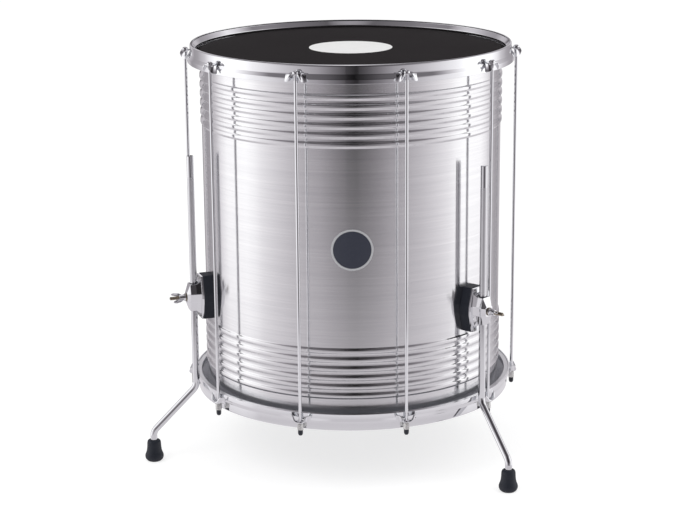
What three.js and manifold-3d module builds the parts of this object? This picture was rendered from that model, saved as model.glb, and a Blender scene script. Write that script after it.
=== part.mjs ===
// A surdo: a tall bass drum of ribbed aluminium that stands on three bent legs.
// Millimetres, +Z up. The drum's badge faces -Y and its feet stand at z = 0.

import * as THREE from 'three';
import { mergeVertices } from 'three/addons/utils/BufferGeometryUtils.js';
import { ConvexGeometry } from 'three/addons/geometries/ConvexGeometry.js';
import Module from 'manifold-3d';

const wasm = await Module();
wasm.setup();

// Clearances
const GAP = 0.3; // between pieces that touch
const OVERRUN = 5; // how far a cutter runs past what it cuts

// Shell
const SHELL_R = 276; // outer radius of the plain tube
const SHELL_H = 624; // from bearing edge to bearing edge
const SHELL_WALL = 2;
const EDGE_ROLL_W = 6; // the edge is rolled inwards to this width
const EDGE_ROLL_H = 8;
const EDGE_ROUND = 2;
const RIB_COUNT = 6; // at each end
const RIB_PITCH = 16.6;
const RIB_PROUD = 2.3;
const RIB_START = 36; // from the bearing edge to the first rib
const RIB_OUTLINE_SHARES = [[0.25, 1], [0.75, 1]]; // along the pitch, proud of the tube

// Drumheads
const FILM_T = 0.8;
const COLLAR_W = 12.5; // from the shell out to the flesh hoop
const COLLAR_DROP = 8;
const COLLAR_START = 0.6; // the film passes the shell's corner by this much
const FLESH_W = 8.5;
const FLESH_H = 12.6;
const FLESH_TOP_W = 3.9; // flat top of the flesh hoop, inside its chamfer
const PATCH_R = 76.5;
const PATCH_T = 0.4;

// Hoops, as one section that is turned over for the bottom
const HOOP_SHEET = 2.2;
const HOOP_STEP = 5; // from the upright wall out to the skirt
const HOOP_WALL_H = 16.5;
const HOOP_FLARE_H = 7.5;
const HOOP_SKIRT_H = 8;
const RIM_RISE = 14; // rim above the bearing edge
const RIM_ROLL_W = 6.5;
const RIM_ROLL_H = 5.2;
const RIM_ROLL_CUT = 1.2;

// Tension rods, claws and nuts
const ROD_COUNT = 10;
const ROD_D = 6;
const ROD_CLEAR = 1.5; // between the skirt and the rod
const ROD_HEAD_R = 5.5;
const ROD_HEAD_SIDE = 2;
const ROD_HEAD_H = 4.5;
const ROD_HEAD_TOP_R = 3.5;
const CLAW_CREST_DEPTH = 14.5; // from the rim to the claw's back
const CLAW_T = 2.5;
const CLAW_BACK_W = 12; // along the hoop
const CLAW_BACK_OUT = 6; // from the rod to the back's outer edge
const CLAW_TOE = 3.2; // width of the foot that bears on the flare
const CLAW_TOE_SIDE = 1.1;
const CLAW_ELBOW_REACH = 11.1; // from the rod along the hoop, where a wing bends outwards
const CLAW_ELBOW_DROP = 8.5;
const CLAW_ELBOW_OUT = 9.6; // from the rod to the wing's outer edge
const CLAW_TIP_REACH = 20.5;
const CLAW_TIP_DROP = 17;
const CLAW_TIP_W = 2.6; // the wing's tip is this wide across, beside the skirt
const CLAW_WING_LEAN_SHARE = 0.4; // sideways part of a wing's thickness
const ROD_BORE_CLEAR = 0.5;
const NUT_R = 5.25;
const NUT_H = 13;
const CAP_R = 4.5;
const CAP_H = 10.5;
const CAP_ROUND = 3;
const CAP_TIP_R = 2.6;
const CAP_END_WALL = 3.2;

// Badge
const BADGE_R = 37;
const BADGE_T = 1.2;

// Legs
const LEG_COUNT = 3;
const LEG_D = 12.7;
const LEG_CLEAR = 3.15; // between the skirt and the leg
const LEG_FIRST_ANGLE = -71.1; // from the badge, in degrees
const LEG_SWIVEL_ANGLE = -16; // how far each leg is turned from straight out
const LEG_TOP_Z = 583;
const LEG_REACH = 82.5; // from the upright part to the foot
const LEG_BEND_Z = 144.4;
const LEG_ANKLE_Z = 57;
const LEG_BEND_R = 25;
const LEG_ANKLE_BEND_R = 20;
const LEG_END_Z = 10;
const STAND_H = 124; // hoop above the floor

// Feet
const FOOT_H = 41;
const FOOT_COLLAR_WALL = 2.9;
const FOOT_SPREAD = 7.9; // from the collar out to the widest ring
const FOOT_OUTLINE_SHARES = [ // of the spread, of the height
  [0.31, 0], [0.72, 0.07], [0.94, 0.15], [1, 0.23], [0.93, 0.31], [0.6, 0.46],
  [0.46, 0.66], [0.42, 0.88], [0.28, 0.96], [0, 1],
];

// Leg brackets
const BRACKET_Z = 318.5;
const GASKET_H = 82;
const GASKET_END_W = 30;
const GASKET_MID_W = 46;
const GASKET_FLAT_H = 16; // upright part of each side
const PLATE_T = 4;
const PLATE_INSET = 0.8;
const BODY_H = 51;
const BODY_SIDE_WALL = 3.95; // beside the pocket for the eye
const BODY_BACK_CLEAR = 2.45; // behind the eye when it is let in
const BODY_ROOT_FLARE = 3; // the root is wider than the body on each side
const BODY_SHOULDER_FLARE = 1.5; // and so is the body where the root's slope ends
const BODY_ROOT_RISE = 9; // the root is taller than the body, above and below
const BODY_ROOT_SLOPE = 8; // depth over which that rise runs out, past the plate
const BODY_LIP = 1.45; // wall outside the leg's bore, at the top and bottom
const BODY_NOSE_TAPER = 5; // on each side
const BODY_NOSE_H = 18;
const BODY_NOSE_WALL = 2.4;
const BODY_END_SHARE = 0.65; // a section's width at its top and bottom, of its full width
const BODY_FLAT_H = 16; // upright part of each side
const BODY_NOSE_FLAT_H = 14;

// Clamp sleeve, eyebolt and wing nut
const SLEEVE_T = 0.6;
const SLEEVE_PROUD = 1; // above the casting's top
const BOLT_D = 6;
const BOLT_OUT = 31; // from the casting's nose to the bolt's end
const BOLT_HOLE_CLEAR = 0.5;
const EYE_T = 2.2;
const EYE_H = 8;
const CLAMP_TRAVEL = 2;
const WING_FLANGE_R = 7.5;
const WING_FLANGE_T = 2.2;
const WING_HUB_R = 6;
const WING_HUB_H = 11;
const WING_SPAN = 15; // from the bolt's axis
const WING_T = 3;
const WING_ROOT_DEPTH = 3;
const WING_TIP_DEPTH = 7;
const WING_TIP_H = 9;
const WING_CORNER = 3;
const WING_BORE_CLEAR = 0.5;

// Facet counts
const RING_SIDES = 48;
const PATCH_SIDES = 32;
const ROD_SIDES = 8;
const LEG_SIDES = 10;
const SMALL_SIDES = 16;
const BEND_STEPS = 4;

// Radii and heights that follow from the sizes above
const FLESH_IN_R = SHELL_R + COLLAR_W;
const FLESH_OUT_R = FLESH_IN_R + FLESH_W;
const SKIRT_IN_R = FLESH_OUT_R + GAP;
const SKIRT_R = SKIRT_IN_R + HOOP_SHEET;
const HOOP_WALL_R = SKIRT_R - HOOP_STEP;
const ROD_CIRCLE_R = SKIRT_R + ROD_CLEAR + ROD_D / 2;
const RIM_TOP_Z = STAND_H + 2 * RIM_RISE + SHELL_H;
const MID_Z = (RIM_TOP_Z + STAND_H) / 2;
const LEG_CIRCLE_R = SKIRT_R + LEG_CLEAR + LEG_D / 2;
const SLEEVE_R = LEG_D / 2 + GAP + SLEEVE_T;
const EYE_IN_R = SLEEVE_R + GAP + CLAMP_TRAVEL / 2;
const EYE_OUT_R = EYE_IN_R + EYE_T;
const EYE_CENTRE_R = LEG_CIRCLE_R + CLAMP_TRAVEL / 2; // drawn outwards, it clamps the leg
const BRACKET_BACK_R = EYE_CENTRE_R - CLAMP_TRAVEL - EYE_OUT_R - BODY_BACK_CLEAR;
const BRACKET_NOSE_R = EYE_CENTRE_R + EYE_OUT_R + GAP + BODY_NOSE_WALL;

const finish = (color, roughness, metalness) =>
  new THREE.MeshStandardMaterial({ color, roughness, metalness, flatShading: true });
const materials = {
  aluminium: finish(0xb9babc, 0.35, 1),
  chrome: finish(0xe4e6e9, 0.08, 1),
  zinc: finish(0xcfcfcc, 0.4, 1),
  film: finish(0x2d2c2d, 0.6, 0),
  white: finish(0xf4f4f2, 0.5, 0),
  slate: finish(0x3c3f4a, 0.3, 0),
  rubber: finish(0x25272b, 0.7, 0),
  plastic: finish(0x2a2c30, 0.5, 0),
};

// Shared vertices merged, empty triangles dropped and faces turned outwards.
function closedSolid(geometry) {
  const bare = geometry.index ? geometry.clone() : geometry;
  bare.deleteAttribute('normal');
  bare.deleteAttribute('uv');
  const merged = mergeVertices(bare);
  const index = [...merged.index.array];
  const triangles = [];
  for (let i = 0; i < index.length; i += 3) {
    const [a, b, c] = index.slice(i, i + 3);
    if (a !== b && b !== c && c !== a) triangles.push([a, b, c]);
  }
  const corner = (i) => new THREE.Vector3().fromBufferAttribute(merged.attributes.position, i);
  const volume = triangles.reduce(
    (sum, [a, b, c]) => sum + corner(a).dot(corner(b).cross(corner(c))), 0);
  const outward = volume > 0 ? triangles : triangles.map(([a, b, c]) => [a, c, b]);
  merged.setIndex(outward.flat());
  return merged;
}

function toManifold(geometry) {
  const solid = closedSolid(geometry);
  return new wasm.Manifold(new wasm.Mesh({
    numProp: 3,
    vertProperties: new Float32Array(solid.attributes.position.array),
    triVerts: new Uint32Array(solid.index.array),
  }));
}

function toGeometry(manifold) {
  const mesh = manifold.getMesh();
  const geometry = new THREE.BufferGeometry();
  geometry.setAttribute('position', new THREE.BufferAttribute(mesh.vertProperties, 3));
  geometry.setIndex([...mesh.triVerts]);
  return geometry;
}

function joined(pieces, cutters = []) {
  const whole = pieces.map(toManifold).reduce((sum, piece) => sum.add(piece));
  return toGeometry(cutters.map(toManifold).reduce((rest, cutter) => rest.subtract(cutter), whole));
}

// A section of [radius, height] points turned round the Z axis.
function turned(section, sides) {
  const points = [...section, section[0]].map(([r, z]) => new THREE.Vector2(r, z));
  return new THREE.LatheGeometry(points, sides).rotateX(Math.PI / 2);
}

// An outline of [x, y] points raised by height along Z.
function raised(outline, height) {
  const shape = new THREE.Shape(outline.map(([x, y]) => new THREE.Vector2(x, y)));
  return new THREE.ExtrudeGeometry(shape, { depth: height, bevelEnabled: false });
}

// An outline of [x, z] points, as wide as width along Y and centred there.
function acrossY(outline, width) {
  return raised(outline, width).rotateX(Math.PI / 2).translate(0, width / 2, 0);
}

// An outline of [y, z] points, from the plane x = start to x = end.
function alongX(outline, start, end) {
  const solid = raised(outline, end - start).rotateX(Math.PI / 2).rotateZ(Math.PI / 2);
  return solid.translate(start, 0, 0);
}

// A round bar or bore along X.
function barX(radius, start, end, sides) {
  const bar = turned([[0, 0], [radius, 0], [radius, end - start], [0, end - start]], sides);
  return bar.rotateY(Math.PI / 2).translate(start, 0, 0);
}

// Sections given as [radius, depth below the rim], at the top or turned over at the bottom.
const atTop = (section) => section.map(([r, depth]) => [r, RIM_TOP_Z - depth]);
const atBottom = (section) => section.map(([r, depth]) => [r, STAND_H + depth]);

function turnedOver(geometry) {
  return closedSolid(geometry.clone().scale(1, 1, -1).translate(0, 0, 2 * MID_Z));
}

function ribPoints() {
  const points = [];
  for (let rib = 0; rib < RIB_COUNT; rib += 1) {
    const start = RIB_START + rib * RIB_PITCH;
    points.push([SHELL_R, start]);
    for (const [along, proud] of RIB_OUTLINE_SHARES) {
      points.push([SHELL_R + proud * RIB_PROUD, start + along * RIB_PITCH]);
    }
  }
  points.push([SHELL_R, RIB_START + RIB_COUNT * RIB_PITCH]);
  return points;
}

// One end of the shell's section, as [radius, distance from the bearing edge], from inside to out.
function shellEnd() {
  const lip = SHELL_R - EDGE_ROLL_W;
  return [
    [SHELL_R - SHELL_WALL, EDGE_ROLL_H],
    [lip, EDGE_ROLL_H - EDGE_ROUND],
    [lip, EDGE_ROUND],
    [lip + EDGE_ROUND, 0],
    [SHELL_R - EDGE_ROUND, 0],
    [SHELL_R, EDGE_ROUND],
    ...ribPoints(),
  ];
}

function shell() {
  const end = shellEnd();
  const top = end.map(([r, along]) => [r, RIM_TOP_Z - RIM_RISE - along]);
  const bottom = end.map(([r, along]) => [r, STAND_H + RIM_RISE + along]);
  return closedSolid(turned([...top, ...bottom.reverse()], RING_SIDES));
}

// The film lies on the bearing edge and slopes down outside it to the flesh hoop.
function filmSection() {
  const under = RIM_RISE - GAP;
  const rest = SHELL_R + COLLAR_START;
  const end = FLESH_IN_R - GAP;
  return [
    [0, under], [rest, under], [end, under + COLLAR_DROP],
    [end, under + COLLAR_DROP - FILM_T], [rest, under - FILM_T], [0, under - FILM_T],
  ];
}

// Depth of the flare's outer face at a radius, below the rim.
function flareDepth(radius) {
  return HOOP_WALL_H + (radius - HOOP_WALL_R) * (HOOP_FLARE_H / HOOP_STEP);
}

// How much deeper a face lies when it is set off inwards from the flare.
function flareOffset(distance) {
  return distance * Math.hypot(HOOP_STEP, HOOP_FLARE_H) / HOOP_STEP;
}

function fleshHoopSection() {
  const inside = HOOP_SHEET + GAP;
  const flatEnd = FLESH_IN_R + FLESH_TOP_W;
  const top = flareDepth(flatEnd) + flareOffset(inside);
  const shoulder = flareDepth(FLESH_OUT_R) + flareOffset(inside);
  return [
    [FLESH_IN_R, top], [flatEnd, top], [FLESH_OUT_R, shoulder],
    [FLESH_OUT_R, top + FLESH_H], [FLESH_IN_R, top + FLESH_H],
  ];
}

// Upright wall with a rolled rim, a flare outwards, and a skirt over the flesh hoop.
function hoopSection() {
  const skirtEnd = HOOP_WALL_H + HOOP_FLARE_H + HOOP_SKIRT_H;
  const wallIn = HOOP_WALL_R - HOOP_SHEET;
  const rollIn = HOOP_WALL_R - RIM_ROLL_W;
  return [
    [HOOP_WALL_R, RIM_ROLL_CUT], [HOOP_WALL_R, HOOP_WALL_H],
    [SKIRT_R, HOOP_WALL_H + HOOP_FLARE_H], [SKIRT_R, skirtEnd], [SKIRT_IN_R, skirtEnd],
    [SKIRT_IN_R, flareDepth(SKIRT_IN_R) + flareOffset(HOOP_SHEET)],
    [wallIn, flareDepth(wallIn) + flareOffset(HOOP_SHEET)],
    [wallIn, RIM_ROLL_H], [rollIn + RIM_ROLL_CUT, RIM_ROLL_H],
    [rollIn, RIM_ROLL_H - RIM_ROLL_CUT], [rollIn, RIM_ROLL_CUT],
    [rollIn + RIM_ROLL_CUT, 0], [HOOP_WALL_R - RIM_ROLL_CUT, 0],
  ];
}

function patch() {
  const floor = RIM_TOP_Z - RIM_RISE + GAP + FILM_T + GAP;
  const section = [[0, floor], [PATCH_R, floor], [PATCH_R, floor + PATCH_T], [0, floor + PATCH_T]];
  return closedSolid(turned(section, PATCH_SIDES));
}

// A round plate bent to the shell, cut from a ring that lies on it.
function badge() {
  const inner = SHELL_R + GAP;
  const outer = inner + BADGE_T;
  const ring = turned([
    [inner, MID_Z - BADGE_R - OVERRUN], [outer, MID_Z - BADGE_R - OVERRUN],
    [outer, MID_Z + BADGE_R + OVERRUN], [inner, MID_Z + BADGE_R + OVERRUN],
  ], RING_SIDES);
  const disc = barX(BADGE_R, 0, outer + OVERRUN, PATCH_SIDES);
  disc.rotateZ(-Math.PI / 2).translate(0, 0, MID_Z);
  return toGeometry(toManifold(ring).intersect(toManifold(disc)));
}

// The back that reaches in over the flare, as [distance out from the rod, height].
function clawBack() {
  const crest = RIM_TOP_Z - CLAW_CREST_DEPTH;
  const wallSide = HOOP_WALL_R + GAP - ROD_CIRCLE_R;
  const toeEnd = wallSide + CLAW_TOE;
  const onFlare = (x) => RIM_TOP_Z - flareDepth(x + ROD_CIRCLE_R) + flareOffset(GAP);
  return [
    [wallSide, onFlare(wallSide)], [toeEnd, onFlare(toeEnd)],
    [toeEnd + CLAW_TOE_SIDE, crest - CLAW_T], [CLAW_BACK_OUT, crest - CLAW_T],
    [CLAW_BACK_OUT, crest], [wallSide + CLAW_TOE_SIDE, crest],
  ];
}

// Four corners of a wing's section at one reach along the hoop, with the sheet's thickness.
function wingEdge(side, reach, drop, start, end) {
  const height = RIM_TOP_Z - CLAW_CREST_DEPTH - drop;
  const under = side * (reach - CLAW_WING_LEAN_SHARE * CLAW_T);
  return [start, end].flatMap((x) => [
    new THREE.Vector3(x, side * reach, height),
    new THREE.Vector3(x, under, height - CLAW_T),
  ]);
}

// A wing on one side of the rod: down from the back to its elbow, then out to its tip.
function clawWing(side) {
  const start = SKIRT_R + GAP - ROD_CIRCLE_R;
  const root = wingEdge(side, CLAW_BACK_W / 2, 0, start, CLAW_BACK_OUT);
  const elbow = wingEdge(side, CLAW_ELBOW_REACH, CLAW_ELBOW_DROP, start, CLAW_ELBOW_OUT);
  const tip = wingEdge(side, CLAW_TIP_REACH, CLAW_TIP_DROP - CLAW_T, start, start + CLAW_TIP_W);
  return [[...root, ...elbow], [...elbow, ...tip]].map((corners) => new ConvexGeometry(corners));
}

function clawPieces() {
  return [acrossY(clawBack(), CLAW_BACK_W), ...clawWing(-1), ...clawWing(1)];
}

function rodBore() {
  const radius = ROD_D / 2 + ROD_BORE_CLEAR;
  const bore = [
    [0, MID_Z], [radius, MID_Z], [radius, RIM_TOP_Z + OVERRUN], [0, RIM_TOP_Z + OVERRUN],
  ];
  return turned(bore, ROD_SIDES);
}

// The rod is peened into its top claw, so the two are one piece.
function tensionRod() {
  const crest = RIM_TOP_Z - CLAW_CREST_DEPTH;
  const end = STAND_H + CLAW_CREST_DEPTH - GAP - NUT_H - CAP_H + CAP_END_WALL + GAP;
  const rod = turned([
    [0, end], [ROD_D / 2, end], [ROD_D / 2, crest], [ROD_HEAD_R, crest],
    [ROD_HEAD_R, crest + ROD_HEAD_SIDE], [ROD_HEAD_TOP_R, crest + ROD_HEAD_H],
    [0, crest + ROD_HEAD_H],
  ], ROD_SIDES);
  return joined([...clawPieces(), rod]);
}

function bottomClaw() {
  return turnedOver(joined(clawPieces(), [rodBore()]));
}

// A tube nut under the bottom claw, closed by a rounded cap over the rod's end.
function tuningNut() {
  const top = STAND_H + CLAW_CREST_DEPTH - GAP;
  const shoulder = top - NUT_H;
  const tip = shoulder - CAP_H;
  const bore = ROD_D / 2 + ROD_BORE_CLEAR;
  return closedSolid(turned([
    [bore, top], [NUT_R, top], [NUT_R, shoulder], [CAP_R, shoulder], [CAP_R, tip + CAP_ROUND],
    [CAP_TIP_R, tip], [0, tip], [0, tip + CAP_END_WALL], [bore, tip + CAP_END_WALL],
  ], ROD_SIDES));
}

// A path whose even steps land on chosen points, so that straight runs take one step.
class StationPath extends THREE.Curve {
  constructor(stations) {
    super();
    this.stations = stations;
  }

  getPoint(t) {
    const place = t * (this.stations.length - 1);
    const from = Math.min(Math.floor(place), this.stations.length - 2);
    return this.stations[from].clone().lerp(this.stations[from + 1], place - from);
  }

  getPointAt(u) {
    return this.getPoint(u);
  }

  getTangentAt(u) {
    const last = this.stations.length - 1;
    const here = Math.round(u * last);
    const before = this.stations[Math.max(here - 1, 0)];
    const after = this.stations[Math.min(here + 1, last)];
    const into = this.stations[here].clone().sub(before).normalize();
    const out = after.clone().sub(this.stations[here]).normalize();
    return into.add(out).normalize();
  }
}

// Points of a bend of the given radius at corner, from the run towards start to the run towards end.
function bend(corner, start, end, radius) {
  const back = start.clone().sub(corner).normalize();
  const on = end.clone().sub(corner).normalize();
  const half = back.angleTo(on) / 2;
  const centre = corner.clone().addScaledVector(back.clone().add(on).normalize(),
    radius / Math.sin(half));
  const first = corner.clone().addScaledVector(back, radius / Math.tan(half)).sub(centre);
  const axis = back.clone().cross(on).normalize();
  const sweep = Math.PI - 2 * half;
  return Array.from({ length: BEND_STEPS + 1 }, (_, step) =>
    first.clone().applyAxisAngle(axis, -sweep * step / BEND_STEPS).add(centre));
}

// The bent rod: upright through its bracket, sloping out below the hoop, upright in its foot.
function legRod() {
  const at = (x, z) => new THREE.Vector3(x, 0, z);
  const top = at(0, LEG_TOP_Z);
  const knee = at(0, LEG_BEND_Z);
  const ankle = at(LEG_REACH, LEG_ANKLE_Z);
  const end = at(LEG_REACH, LEG_END_Z);
  const stations = [
    top,
    ...bend(knee, top, ankle, LEG_BEND_R),
    ...bend(ankle, knee, end, LEG_ANKLE_BEND_R),
    end,
  ];
  const section = new THREE.Shape(new THREE.Path()
    .absarc(0, 0, LEG_D / 2, 0, 2 * Math.PI).getSpacedPoints(LEG_SIDES).slice(0, -1));
  const extrudePath = new StationPath(stations);
  return closedSolid(new THREE.ExtrudeGeometry(section, {
    steps: stations.length - 1, extrudePath,
  }));
}

function rubberFoot() {
  const bore = LEG_D / 2 + GAP;
  const floor = LEG_END_Z - GAP;
  const collar = bore + FOOT_COLLAR_WALL;
  const outside = FOOT_OUTLINE_SHARES.map(([out, up]) =>
    [collar + out * FOOT_SPREAD, up * FOOT_H]);
  const foot = turned([
    [0, 0], ...outside, [bore, FOOT_H], [bore, floor], [0, floor],
  ], SMALL_SIDES);
  return closedSolid(foot.translate(LEG_REACH, 0, 0));
}

// Eight corners as [along the hoop, height], narrow at the top and bottom ends.
function longOctagon(endW, midW, height, flatH) {
  const [end, mid, high, flat] = [endW / 2, midW / 2, height / 2, flatH / 2];
  return [
    [end, high], [-end, high], [-mid, flat], [-mid, -flat],
    [-end, -high], [end, -high], [mid, -flat], [mid, flat],
  ];
}

// The outline of gasket and plate, smaller all round by inset.
function bracketOutline(inset) {
  const [end, mid, high] = [GASKET_END_W, GASKET_MID_W, GASKET_H].map((size) => size - 2 * inset);
  return longOctagon(end, mid, high, GASKET_FLAT_H);
}

// The thick pad between shell and casting, hollowed to the shell's curve.
function gasket(angle) {
  const block = alongX(bracketOutline(0), SHELL_R - OVERRUN, BRACKET_BACK_R - GAP);
  const tube = turned([
    [0, -GASKET_H], [SHELL_R + GAP, -GASKET_H], [SHELL_R + GAP, GASKET_H], [0, GASKET_H],
  ], RING_SIDES).rotateZ(-angle);
  return joined([block], [tube]).translate(0, 0, BRACKET_Z);
}

// Eight corners of a section of the casting's body, across the plane at distance x.
function bodySection(x, width, height, flatH) {
  const corners = longOctagon(width * BODY_END_SHARE, width, height, flatH);
  return corners.map(([y, z]) => new THREE.Vector3(x, y, z));
}

// Cast bracket: a plate on the gasket and a body round the leg, open behind for the eyebolt.
function legBracket() {
  const plate = alongX(bracketOutline(PLATE_INSET), BRACKET_BACK_R, BRACKET_BACK_R + PLATE_T);
  const room = EYE_OUT_R + GAP;
  const width = 2 * (room + BODY_SIDE_WALL);
  const boreR = SLEEVE_R + GAP;
  const back = BRACKET_BACK_R;
  const shoulder = bodySection(
    back + PLATE_T + BODY_ROOT_SLOPE, width + 2 * BODY_SHOULDER_FLARE, BODY_H, BODY_FLAT_H);
  const rootH = BODY_H + 2 * BODY_ROOT_RISE;
  const root = bodySection(back, width + 2 * BODY_ROOT_FLARE, rootH, BODY_FLAT_H);
  const lip = bodySection(LEG_CIRCLE_R + boreR + BODY_LIP, width, BODY_H, BODY_FLAT_H);
  const nose = bodySection(
    BRACKET_NOSE_R, width - 2 * BODY_NOSE_TAPER, BODY_NOSE_H, BODY_NOSE_FLAT_H);
  const blocks = [[...root, ...shoulder], [...shoulder, ...lip, ...nose]];
  const body = blocks.map((corners) => new ConvexGeometry(corners));
  const bore = turned([[0, -BODY_H], [boreR, -BODY_H], [boreR, BODY_H], [0, BODY_H]], SMALL_SIDES);
  bore.translate(LEG_CIRCLE_R, 0, 0);
  const high = EYE_H / 2 + GAP;
  const pocket = turned([[0, -high], [room, -high], [room, high], [0, high]], SMALL_SIDES);
  pocket.translate(EYE_CENTRE_R, 0, 0);
  const way = [[-room, -high], [room, -high], [room, high], [-room, high]];
  const opening = alongX(way, back - OVERRUN, EYE_CENTRE_R);
  const boltHole = barX(
    BOLT_D / 2 + BOLT_HOLE_CLEAR, EYE_CENTRE_R, BRACKET_NOSE_R + OVERRUN, SMALL_SIDES);
  const casting = joined([plate, ...body], [bore, pocket, opening, boltHole]);
  return casting.translate(0, 0, BRACKET_Z);
}

// Thin sleeve between the leg and the casting's bore.
function legSleeve() {
  const bore = LEG_D / 2 + GAP;
  const low = -BODY_H / 2;
  const high = BODY_H / 2 + SLEEVE_PROUD;
  const sleeve = turned([[bore, low], [SLEEVE_R, low], [SLEEVE_R, high], [bore, high]], SMALL_SIDES);
  return closedSolid(sleeve.translate(LEG_CIRCLE_R, 0, BRACKET_Z));
}

function eyebolt() {
  const ring = turned([
    [EYE_IN_R, -EYE_H / 2], [EYE_OUT_R, -EYE_H / 2], [EYE_OUT_R, EYE_H / 2], [EYE_IN_R, EYE_H / 2],
  ], SMALL_SIDES).translate(EYE_CENTRE_R, 0, 0);
  const shank = barX(BOLT_D / 2, EYE_CENTRE_R + EYE_IN_R + GAP, BRACKET_NOSE_R + BOLT_OUT, ROD_SIDES);
  return joined([ring, shank]).translate(0, 0, BRACKET_Z);
}

function wingNut() {
  const seat = BRACKET_NOSE_R + GAP;
  const hubEnd = seat + WING_FLANGE_T + WING_HUB_H;
  const flange = barX(WING_FLANGE_R, seat, seat + WING_FLANGE_T, SMALL_SIDES);
  const hub = barX(WING_HUB_R, seat, hubEnd, SMALL_SIDES);
  const root = seat + WING_FLANGE_T + WING_ROOT_DEPTH;
  const tip = root + WING_TIP_DEPTH;
  const outline = [
    [root, 0], [tip - WING_CORNER, WING_SPAN], [tip + WING_TIP_H - WING_CORNER, WING_SPAN],
    [tip + WING_TIP_H - WING_CORNER, WING_SPAN - WING_CORNER], [hubEnd, 0],
  ];
  const wings = [1, -1].map((side) =>
    raised(outline.map(([x, y]) => [x, side * y]), WING_T).translate(0, 0, -WING_T / 2));
  const bore = barX(BOLT_D / 2 + WING_BORE_CLEAR, seat - OVERRUN, hubEnd + OVERRUN, ROD_SIDES);
  return joined([flange, hub, ...wings], [bore]).translate(0, 0, BRACKET_Z);
}

function add(parent, name, geometry, material) {
  const mesh = new THREE.Mesh(geometry, material);
  mesh.name = name;
  parent.add(mesh);
}

// A group turned to an angle measured in degrees from the badge, its X axis pointing outwards.
function facing(degrees) {
  const group = new THREE.Group();
  group.rotation.z = THREE.MathUtils.degToRad(degrees) - Math.PI / 2;
  return group;
}

function drumBody() {
  const group = new THREE.Group();
  const ring = (section) => closedSolid(turned(section, RING_SIDES));
  add(group, 'shell', shell(), materials.aluminium);
  for (const [end, place] of [['top', atTop], ['bottom', atBottom]]) {
    add(group, `${end}_hoop`, ring(place(hoopSection())), materials.chrome);
    add(group, `${end}_flesh_hoop`, ring(place(fleshHoopSection())), materials.aluminium);
    add(group, `${end}_head_film`, ring(place(filmSection())), materials.film);
  }
  add(group, 'head_centre_patch', patch(), materials.white);
  add(group, 'shell_badge', badge(), materials.slate);
  return group;
}

function tensionSet(number) {
  const half = 180 / ROD_COUNT;
  const group = facing(half + number * 2 * half);
  const label = String(number + 1).padStart(2, '0');
  const onCircle = (geometry) => geometry.translate(ROD_CIRCLE_R, 0, 0);
  add(group, `tension_rod_${label}`, onCircle(tensionRod()), materials.chrome);
  add(group, `bottom_claw_${label}`, onCircle(bottomClaw()), materials.chrome);
  add(group, `tuning_nut_${label}`, onCircle(tuningNut()), materials.zinc);
  return group;
}

function legSet(number) {
  const group = facing(LEG_FIRST_ANGLE + number * 360 / LEG_COUNT);
  const label = number + 1;
  add(group, `bracket_gasket_${label}`, gasket(group.rotation.z), materials.rubber);
  add(group, `leg_bracket_${label}`, legBracket(), materials.chrome);
  add(group, `leg_sleeve_${label}`, legSleeve(), materials.plastic);
  add(group, `eyebolt_${label}`, eyebolt(), materials.zinc);
  add(group, `wing_nut_${label}`, wingNut(), materials.chrome);
  const swivel = new THREE.Group();
  swivel.position.x = LEG_CIRCLE_R;
  swivel.rotation.z = THREE.MathUtils.degToRad(LEG_SWIVEL_ANGLE);
  add(swivel, `leg_rod_${label}`, legRod(), materials.chrome);
  add(swivel, `rubber_foot_${label}`, rubberFoot(), materials.rubber);
  group.add(swivel);
  return group;
}

const drum = new THREE.Group();
drum.add(drumBody());
for (let number = 0; number < ROD_COUNT; number += 1) {
  drum.add(tensionSet(number));
}
for (let number = 0; number < LEG_COUNT; number += 1) {
  drum.add(legSet(number));
}

// The origin is on the floor under the middle of the drum's box.
drum.updateMatrixWorld(true);
const middle = new THREE.Box3().setFromObject(drum, true).getCenter(new THREE.Vector3());
drum.position.set(-middle.x, -middle.y, 0);
drum.updateMatrixWorld(true);

export default drum;
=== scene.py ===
import math

import bmesh
import bpy
from mathutils import Matrix, Vector


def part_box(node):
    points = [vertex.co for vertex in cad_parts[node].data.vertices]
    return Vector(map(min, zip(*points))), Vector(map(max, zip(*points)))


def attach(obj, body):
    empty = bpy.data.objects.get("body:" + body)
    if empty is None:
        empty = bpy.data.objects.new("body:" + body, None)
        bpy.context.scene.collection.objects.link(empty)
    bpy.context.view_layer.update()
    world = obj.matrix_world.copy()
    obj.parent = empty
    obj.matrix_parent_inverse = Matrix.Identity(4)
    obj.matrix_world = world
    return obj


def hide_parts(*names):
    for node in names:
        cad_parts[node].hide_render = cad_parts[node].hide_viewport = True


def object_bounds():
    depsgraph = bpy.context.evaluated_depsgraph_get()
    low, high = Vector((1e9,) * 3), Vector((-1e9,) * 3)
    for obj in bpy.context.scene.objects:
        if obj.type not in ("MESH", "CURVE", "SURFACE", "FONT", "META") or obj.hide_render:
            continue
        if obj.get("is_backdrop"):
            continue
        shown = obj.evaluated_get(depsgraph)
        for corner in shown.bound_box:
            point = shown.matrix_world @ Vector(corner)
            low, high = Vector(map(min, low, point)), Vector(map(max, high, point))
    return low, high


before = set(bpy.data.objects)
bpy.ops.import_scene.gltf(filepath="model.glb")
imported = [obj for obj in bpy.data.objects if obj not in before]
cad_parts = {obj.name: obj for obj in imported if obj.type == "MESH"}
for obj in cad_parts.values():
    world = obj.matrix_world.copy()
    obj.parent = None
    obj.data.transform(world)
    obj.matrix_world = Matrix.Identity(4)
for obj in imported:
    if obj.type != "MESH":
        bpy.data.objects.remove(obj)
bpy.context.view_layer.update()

# Camera: a long lens about three and a half metres away, a little above the drum.
# It looks down at the middle of the shell, and leans by a fraction of a degree.
mm = 0.001
shell_low, shell_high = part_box("shell")
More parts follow.
